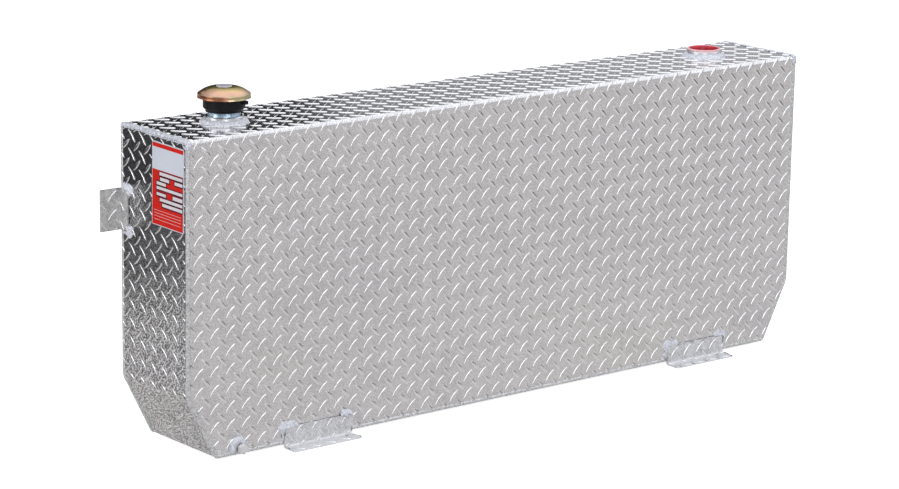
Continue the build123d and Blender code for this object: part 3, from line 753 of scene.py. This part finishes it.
def keep_saddle(p):
    """True where no edge, foot, bung or drain is in the way of a bar."""
    keep = inside_cut(p, edge_gap)
    for x in foot_places.values():
        keep &= ~((np.abs(p[:, 0] - x) < foot_half) & (p[:, 2] < foot_leg))
    on_top = p[:, 2] > top - 1 * mm
    for x in (filler_x, port_x):
        keep &= ~(on_top & (np.hypot(p[:, 0] - x, p[:, 1]) < bung_reach))
    near = np.hypot(p[:, 0] - drain_x, p[:, 2] - drain_z) < drain_reach
    return keep & ~(near & (p[:, 1] < 0))


def keep_wrap(p):
    """True where no edge, tag or bracket is in the way of a bar."""
    keep = (np.abs(p[:, 1]) < half_depth - edge_gap) & (p[:, 2] < top - 6 * mm)
    on_tag_y = np.abs(p[:, 1] - tag_middle[0]) < tag_half[0]
    on_tag_z = np.abs(p[:, 2] - tag_middle[1]) < tag_half[1]
    bracket = (p[:, 1] > half_depth - bracket_leg) & (p[:, 2] > bracket_low) & (p[:, 2] < bracket_high)
    return keep & ~((p[:, 0] < 0) & on_tag_y & on_tag_z) & ~bracket


# %% [markdown]
# The photograph shows both bar patterns run on over the fold from the front
# to the top. So their places are counted from the fold, down the front and
# over the top and the back, with the steps that the photograph shows.

# %% Bars on the folded-over sheet
fold = top - bottom - fold_radius
top_from, back_from = fold + 6 * mm, fold + 220 * mm
front_step, top_step, level_step = 36.3 * mm, 35.9 * mm, 35.93 * mm
rows_each_way = 26


def saddle_bars(low, high):
    """Both lattices of the sheet that is folded over the top."""
    bars = []
    for lean, x0, s0 in ((1, 23.5 * mm, 1.8 * mm), (-1, 5.5 * mm, -16.35 * mm)):
        after, first = (s0, 1) if s0 > 0 else (s0 + front_step, 0)
        places = [s0 - front_step * k for k in range(rows_each_way)]
        places += [after + top_step * k for k in range(first, rows_each_way)]
        for s in places:
            if low <= fold + s < high:
                for x in lattice(-half_length + x0, level_step, -half_length, half_length):
                    bars.append((fold + s, x, lean))
    return bars


def on_saddle(p, w):
    return np.column_stack((w, p[:, 0], p[:, 1]))


for name, low, high, broad, seed in (("tread_front", 0, top_from, -1, 1),
                                     ("tread_top", top_from, back_from, 0, 2),
                                     ("tread_back", back_from, 2, 0, 3)):
    tread(name, saddle_run, True, on_saddle, saddle_bars(low, high), keep_saddle, broad=broad, seed=seed)

# %% [markdown]
# The other sheet goes down the left end, under the bottom and up the right
# end. It is one long run too, cut into three pieces at the same length from
# both of its ends.

# %% Bars on the sheet round the ends and the bottom
whole, end_part, worn_from = run_length(end_run), 0.62, 0.486
end_step, end_level_step = 35.9 * mm, 35.1 * mm


def on_wrap(p, w):
    return np.column_stack((p[:, 0], w, p[:, 1]))


def wrap_bars(low, high):
    """Both lattices of the sheet that is folded round the ends."""
    bars = []
    for lean, y0, s0 in ((-1, 0.0, 18.9 * mm), (1, 17.55 * mm, 0.95 * mm)):
        for s in lattice(s0, end_step, low, high):
            for y in lattice(half_depth - y0, end_level_step, -half_depth, half_depth):
                bars.append((s, y, lean))
    return bars


for name, low, high, seed in (("tread_left_end", 0, end_part, 4),
                              ("tread_bottom", end_part, whole - end_part, 5),
                              ("tread_right_end", whole - end_part, whole, 6)):
    tread(name, end_run, False, on_wrap, wrap_bars(low, high), keep_wrap, flats="end_sheet",
          flanks="end_bar", worn=(worn_from, whole - worn_from), seed=seed)

# %% [markdown]
# The feet and the brackets are bent from the same tread plate, with the bars
# on the side that shows. Each plate was cut from its sheet at random, so its
# pattern starts from the place of one bar that the photograph shows.

# %% Bars on the feet and brackets
foot_face, foot_flange = half_depth + rise + sheet, half_depth + rise + 36 * mm
foot_hole, hole_radius = (52 * mm, half_depth + rise + 19 * mm), 6.5 * mm
foot_starts = {"left": (5.5 * mm, -486 * mm), "right": (15 * mm, 486.5 * mm)}
bracket_face, bracket_flange = half_length + rise + sheet, half_length + rise + 47 * mm
bracket_start = (39 * mm, 481.5 * mm)
plate_step, half_step, overhang, trim = 36.3 * mm, 18 * mm, 8 * mm, 0.8 * mm


def plate_tread(name, run, left, place, start, wide, keep=None, flats="angle_sheet", seed=7):
    """Both lattices over a small bent plate, held back a little from its edges."""
    length, bars = run_length(run), []
    for lean, shift in ((-1, 0.0), (1, half_step)):
        for s in lattice(start[0] + shift, plate_step, -overhang, length + overhang):
            for w in lattice(start[1] + shift, plate_step, wide[0] - overhang, wide[1] + overhang):
                bars.append((s, w, lean))
    limits = ((trim, length - trim), (wide[0] + trim, wide[1] - trim))
    tread(name, run, left, place, bars, keep, "angle_sheet", flats, "angle_bar", limits, seed=seed)


foot_run = folded_run([(foot_face, foot_leg), (foot_face, sheet), (foot_flange, sheet)], [sheet])
for row, side in (("front", -1), ("back", 1)):
    for end, x0 in foot_places.items():
        def on_foot(p, w):
            return np.column_stack((w, side * p[:, 0], p[:, 1]))

        def keep_foot(p):
            return np.hypot(p[:, 0] - x0 - foot_hole[0], np.abs(p[:, 1]) - foot_hole[1]) >= hole_radius

        plate_tread(f"tread_foot_{row}_{end}", foot_run, True, on_foot, foot_starts[end],
                    (x0 - foot_half, x0 + foot_half), keep_foot)

bracket_run = folded_run([(bracket_face, half_depth - bracket_leg), (bracket_face, half_depth - sheet),
                          (bracket_flange, half_depth - sheet)], [sheet])
for end, side in (("left", -1), ("right", 1)):
    def on_bracket(p, w):
        return np.column_stack((side * p[:, 0], p[:, 1], w))

    plate_tread(f"tread_bracket_{end}", bracket_run, False, on_bracket, bracket_start,
                (bracket_low, bracket_high), flats="bracket_sheet", seed=8)

# %% [markdown]
# A weld is a row of frozen drops. Each bead is made as rings along its path:
# every ring is a section of the bead, and its size swells and shrinks with
# the ripples of the torch and with slow lumps, so that no two drops match. The
# bead replaces the plain weld of the CAD model, which has the same path.

# %% Weld beads
def bead(name, path, first, second, section, replaces, ripple=3.2 * mm, lump=0.12, drop=0.05, seed=0.0,
         fade=0.0, closed=False, look="weld_bead", swell=None):
    """Lumpy bead along a path; section gives its offsets along first and second.

    Lump is how much the slow lumps change its size, and drop how much the
    ripples do; fade is the length over which it thins out at both ends.
    """
    steps = len(path)
    swell = np.ones(steps) if swell is None else swell
    shape = np.array(section)
    middle = np.array([0.15, 0.15]) * np.abs(shape).max()
    gaps = np.linalg.norm(np.diff(path, axis=0), axis=1)
    lengths = np.concatenate(([0], np.cumsum(gaps)))
    points = []
    for i, at in enumerate(path):
        s = lengths[i]
        for k, (a, b) in enumerate(shape):
            t = k / (len(shape) - 1)
            spot = Vector(at) * 1000
            slow = noise.noise(spot * 0.09 + Vector((seed, t * 0.8, 0)))
            quick = noise.noise(spot * 0.35 + Vector((0, seed, t * 2)))
            wave = (s / ripple + 0.9 * (t - 0.5) ** 2) % 1.0
            crest = (1 - abs(2 * wave - 1)) * math.sin(math.pi * t)
            grow = 1 + lump * (1.2 * slow + 0.8 * quick) + drop * crest
            if fade:
                edge = min(s, lengths[-1] - s) / fade
                grow *= 0.35 + 0.65 * math.sqrt(min(1.0, max(0.0, edge)))
            p = middle + (np.array([a, b]) - middle) * grow * swell[i]
            points.append(at + first[i] * p[0] + second[i] * p[1])
    count = len(shape)
    faces = []
    for i in range(steps if closed else steps - 1):
        for k in range(count - 1):
            here, after = i * count + k, ((i + 1) % steps) * count + k
            faces.append((here, here + 1, after + 1, after))
    if not closed:
        faces += [tuple(range(count - 1, -1, -1)), tuple(range((steps - 1) * count, steps * count))]
    points = np.array(points)
    mid = count * (steps // 2) + count // 2
    across = np.cross(points[mid + 1] - points[mid], points[mid + count] - points[mid])
    if across @ (points[mid] - path[steps // 2]) < 0:
        faces = [tuple(reversed(f)) for f in faces]
    piece = finished(name, points, faces, "weld_bead", finish[look])
    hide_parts(*replaces)


def fillet_section(first, second, belly=0.7):
    """Bulging section between two legs."""
    section = []
    for t in np.linspace(0, 1, 9):
        a = (1 - t) ** 2 * first + 2 * t * (1 - t) * belly * first
        b = t ** 2 * second + 2 * t * (1 - t) * belly * second
        section.append((a, b))
    return [(first, -0.5 * mm)] + section + [(-0.5 * mm, second)]


def corner_section(radius, count=9):
    """Round section over an open corner, from one sheet to the other."""
    low, high = math.radians(-47), math.radians(137)
    return [(radius * math.cos(a), radius * math.sin(a)) for a in np.linspace(low, high, count)]


def same(vector, count):
    """One vector for each ring of a bead."""
    return np.tile(np.array(vector, float), (count, 1))


# %% Seams down the ends and under the bottom
seam_start = 16 * mm
for name, side in (("seam_weld_front", -1), ("seam_weld_back", 1)):
    run = wrap_run(sheet)
    s = np.arange(seam_start, run_length(run) - seam_start, 1.3 * mm)
    spot, out = along(run, s, False)
    path = np.column_stack((spot[:, 0], np.full(len(s), side * (half_depth - sheet)), spot[:, 1]))
    outward = np.column_stack((out[:, 0], np.zeros(len(s)), out[:, 1]))
    bead(name + "_bead", path, outward, same((0, side, 0), len(s)), corner_section(4.6 * mm), [name],
         lump=0.07, drop=0.05, seed=side, look="seam_bead")

# %% Seams over the ends of the top
depth, seam_end = half_depth - sheet, top - seam_start
inner_radius = 4.8 * mm
for name, side in (("seam_weld_left", -1), ("seam_weld_right", 1)):
    run = folded_run([(-depth, seam_end), (-depth, top - sheet), (depth, top - sheet), (depth, seam_end)],
                     [inner_radius, inner_radius])
    s = np.arange(0, run_length(run), 0.9 * mm)
    spot, out = along(run, s, True)
    path = np.column_stack((np.full(len(s), side * (half_length - sheet)), spot[:, 0], spot[:, 1]))
    outward = np.column_stack((np.zeros(len(s)), out[:, 0], out[:, 1]))
    section = [(a, 1.05 * b if a > 0 else b) for a, b in corner_section(5.4 * mm, 12)]
    bead(name + "_bead", path, outward, same((side, 0, 0), len(s)), section, [name],
         lump=0.34, drop=0.16, ripple=4.6 * mm, seed=2.5 * side)

# %% Welds round the bungs and the drain
bung_radius, drain_radius = 36.5 * mm, 11.1 * mm
for name, x, seed in (("filler_bung_weld", filler_x, 1.0), ("port_bung_weld", port_x, 5.0)):
    turn = np.linspace(0, 2 * math.pi, 230, endpoint=False)
    around = np.column_stack((np.cos(turn), np.sin(turn), 0 * turn))
    path = np.array([x, 0, top]) + bung_radius * around
    bead(name + "_bead", path, around, same((0, 0, 1), len(turn)), fillet_section(10 * mm, 9 * mm), [name],
         lump=0.2, drop=0.12, ripple=4.2 * mm, seed=seed, closed=True, look="bright_bead")

turn = np.radians(np.linspace(-46, 226, 110))
around = np.column_stack((np.cos(turn), 0 * turn, np.sin(turn)))
path = np.array([drain_x, -half_depth, drain_z]) + drain_radius * around
section = fillet_section(8.6 * mm, 7 * mm, 0.75)
bead("drain_bung_weld_bead", path, around, same((0, -1, 0), len(turn)), section, ["drain_bung_weld"],
     lump=0.26, drop=0.12, seed=9.0, fade=5 * mm, look="bright_bead")

# %% [markdown]
# Each foot has a weld round both of its top corners, and each bracket one
# over its top edge and one under its bottom edge. They all lie on a flat wall,
# so each is drawn as a bent line on that wall: a level direction and up.

# %% Fillet welds of the feet and brackets
def lap_weld(name, origin, level, normal, corners, seed, thin_below=None):
    """Fillet weld along a bent line on a wall; it may thin out below a height."""
    run = folded_run(corners, [3 * mm])
    s = np.linspace(0, run_length(run), max(24, int(run_length(run) / (0.9 * mm))))
    spot, out = along(run, s, False)
    level, up = np.array(level, float), np.array((0, 0, 1.0))
    path = np.array(origin) + spot[:, :1] * level + spot[:, 1:] * up
    outward = out[:, :1] * level + out[:, 1:] * up
    swell = None
    if thin_below:
        swell = 0.42 + 0.58 * np.clip((spot[:, 1] - thin_below) / (9 * mm), 0, 1)
    bead(name + "_bead", path, outward, same(normal, len(s)), lap_section, [name], lump=0.62, drop=0.2,
         ripple=4.4 * mm, seed=seed, fade=5 * mm, look="bright_bead", swell=swell)


lap_section = fillet_section(10.5 * mm, 6.2 * mm, 0.66)
weld_low, thin_from = bottom + sheet + 4.16 * mm, foot_leg - 13 * mm
for row, side in (("front", -1), ("back", 1)):
    for end, x in foot_places.items():
        near, far = -side * x - foot_half, -side * x + foot_half
        wall = ((0, side * half_depth, 0), (-side, 0, 0), (0, side, 0))
        first = [(near + 31 * mm, foot_leg), (near, foot_leg), (near, weld_low)]
        second = [(far, weld_low), (far, foot_leg), (far - 26 * mm, foot_leg)]
        lap_weld(f"foot_{row}_{end}_weld_1", *wall, first, x * 9, thin_from)
        lap_weld(f"foot_{row}_{end}_weld_2", *wall, second, x * 9 + 4, thin_from)

down_edge = 12 * mm
for end, side in (("left", -1), ("right", 1)):
    wall = ((side * half_length, 0, 0), (0, side, 0), (side, 0, 0))
    root, edge = side * (half_depth - 2 * sheet), side * (half_depth - bracket_leg)
    above = [(root, bracket_high), (edge, bracket_high), (edge, bracket_high - down_edge)]
    below = [(edge, bracket_low + down_edge), (edge, bracket_low), (root, bracket_low)]
    if side < 0:
        above.reverse()
        below.reverse()
    lap_weld(f"bracket_{end}_weld_top", *wall, above, 3 + side)
    lap_weld(f"bracket_{end}_weld_bottom", *wall, below, 6 + side)

# %% [markdown]
# The tag is a plastic card with printed fields, stuck on a little askew. Its
# print is kept to colour fields: a band, a blank panel and rows of pale bars
# on red. Each field is a thin sheet of its own, a hair above the one below.

# %% Tag card
tag_wide, tag_high, tag_corner, tag_thick = 101.5 * mm, 157 * mm, 2.5 * mm, 1.5 * mm
tag_start = np.array([2.3 * mm, 602.4 * mm])
askew = math.radians(0.8)
tag_across = np.array([-math.cos(askew), -math.sin(askew)]) * tag_wide
tag_down = np.array([math.sin(askew), -math.cos(askew)]) * tag_high


def on_tag(u, v):
    """Place on the end wall (y, z) of a spot on the tag, from 0 to 1 each way."""
    return tag_start + u * tag_across + v * tag_down


rim = []
for u, v, start in ((0, 0, 180), (1, 0, 270), (1, 1, 0), (0, 1, 90)):
    for turn in np.radians(np.linspace(start, start + 90, 6)):
        du = (1 if u == 0 else -1) * tag_corner / tag_wide
        dv = (1 if v == 0 else -1) * tag_corner / tag_high
        rim.append(on_tag(u + du + abs(du) * math.cos(turn), v + dv + abs(dv) * math.sin(turn)))
layers = ((0.1 * mm, 0.0), (-tag_thick + 0.3 * mm, 0.0), (-tag_thick, 0.3 * mm))
centre, points = on_tag(0.5, 0.5), []
for height, inset in layers:
    shrink = 1 - inset / (tag_wide / 2)
    for y, z in rim:
        points.append((-half_length + height, centre[0] + (y - centre[0]) * shrink,
                       centre[1] + (z - centre[1]) * shrink))
count = len(rim)
faces = [tuple(range(count)), tuple(range(len(points) - 1, len(points) - 1 - count, -1))]
for ring in range(len(layers) - 1):
    for k in range(count):
        a, b = ring * count + k, ring * count + (k + 1) % count
        faces.append((b, a, a + count, b + count))
tag_card = finished("tag_card", points, faces, "tag_film", smooth=False)
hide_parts("data_tag")

# %% Tag print
fields = [(0.015, 0.985, 0.012, 0.062, "red_ink", 0), (0.015, 0.985, 0.33, 0.99, "red_ink", 0)]
bars = [(0.24, 0.97, 0.350, 0.392), (0.26, 0.55, 0.413, 0.455), (0.72, 0.97, 0.413, 0.455),
        (0.15, 0.45, 0.470, 0.510), (0.15, 0.97, 0.527, 0.565), (0.15, 0.45, 0.600, 0.638),
        (0.66, 0.97, 0.592, 0.640), (0.25, 0.97, 0.660, 0.700), (0.33, 0.97, 0.718, 0.760)]
for u0, u1, v0, v1 in bars:
    fields.append((u0 - 0.022, min(u1 + 0.02, 0.985), v0 - 0.014, v1 + 0.014, "dark_ink", 1))
    fields.append((u0, u1 - 0.005, v0, v1 - 0.003, "pale_ink", 2))
fields += [(0.08, 0.92, v, v + 0.004, "pale_ink", 1) for v in (0.815, 0.85, 0.885, 0.925)]
tag_face = -half_length - tag_thick
points, faces, inks = [], [], []
for u0, u1, v0, v1, ink, layer in fields:
    x = tag_face - (0.05 + 0.05 * layer) * mm
    corners = ((u0, v0), (u0, v1), (u1, v1), (u1, v0))
    first = len(points)
    points += [(x, *on_tag(u, v)) for u, v in corners]
    faces.append(tuple(range(first, first + 4)))
    inks.append(ink)
tag_print = finished("tag_print", points, faces, "tag_film", finish["red_ink"], smooth=False)
for ink in ("pale_ink", "dark_ink"):
    tag_print.data.materials.append(finish[ink])
for face, ink in zip(tag_print.data.polygons, inks):
    face.material_index = ("red_ink", "pale_ink", "dark_ink").index(ink)
print("tag fields:", len(fields))

# %% [markdown]
# The pump port's plug is a soft moulding: a rounded rim round a deep cup.
# It is turned from one profile, closely enough for the rim to look round.

# %% Plug
def turned_piece(name, profile, centre, slot, body, count=96):
    """Profile of (radius, height) points turned round an upright axis."""
    points, faces = [], []
    for turn in np.linspace(0, 2 * math.pi, count, endpoint=False):
        c, s = math.cos(turn), math.sin(turn)
        points += [(centre[0] + radius * c, centre[1] + radius * s, height) for radius, height in profile]
    size = len(profile)
    for i in range(count):
        for k in range(size - 1):
            here, after = i * size + k, ((i + 1) % count) * size + k
            faces.append((here, after, after + 1, here + 1))
    return finished(name, points, faces, slot, body=body)


def rounded(points, radius, steps=4):
    """Open line of points with its inner corners rounded."""
    line = [points[0]]
    for before, corner, after in zip(points, points[1:], points[2:]):
        a, b, c = (Vector((*p, 0)) for p in (before, corner, after))
        cut = min(radius, (b - a).length * 0.45, (c - b).length * 0.45)
        start, end = b + (a - b).normalized() * cut, b + (c - b).normalized() * cut
        for k in range(steps + 1):
            t = k / steps
            spot = start * (1 - t) ** 2 + b * 2 * t * (1 - t) + end * t ** 2
            line.append((spot.x, spot.y))
    return line + [points[-1]]


plug_line = [(0.0, 617.0), (28.2, 617.0), (28.2, 632.0), (34.4, 632.0), (34.4, 636.2), (31.4, 636.2),
             (29.0, 632.5), (26.2, 620.2), (0.0, 620.2)]
plug_line = rounded([(r * mm, z * mm) for r, z in plug_line], 1.3 * mm)
plug = turned_piece("port_plug_moulding", plug_line, (port_x, 0), "red_plastic", "port_plug")
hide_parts("port_plug")

# %% [markdown]
# The riser is a piece of threaded pipe, and a few turns of its thread show
# under the cap's base. The rings are turned in the same way as the plug.

# %% Thread on the riser
thread_line = [(29.9, 632.2)]
root_radius, crest_radius, thread_low, pitch = 30.05, 30.85, 632.6, 1.85
for k in range(4):
    z = thread_low + pitch * k
    thread_line += [(root_radius, z), (crest_radius, z + 0.75), (crest_radius, z + 1.05),
                    (root_radius, z + 1.8)]
thread_line = [(r * mm, z * mm) for r, z in thread_line]
turned_piece("riser_thread", thread_line, (filler_x, 0), "galvanised_pipe", "tank")
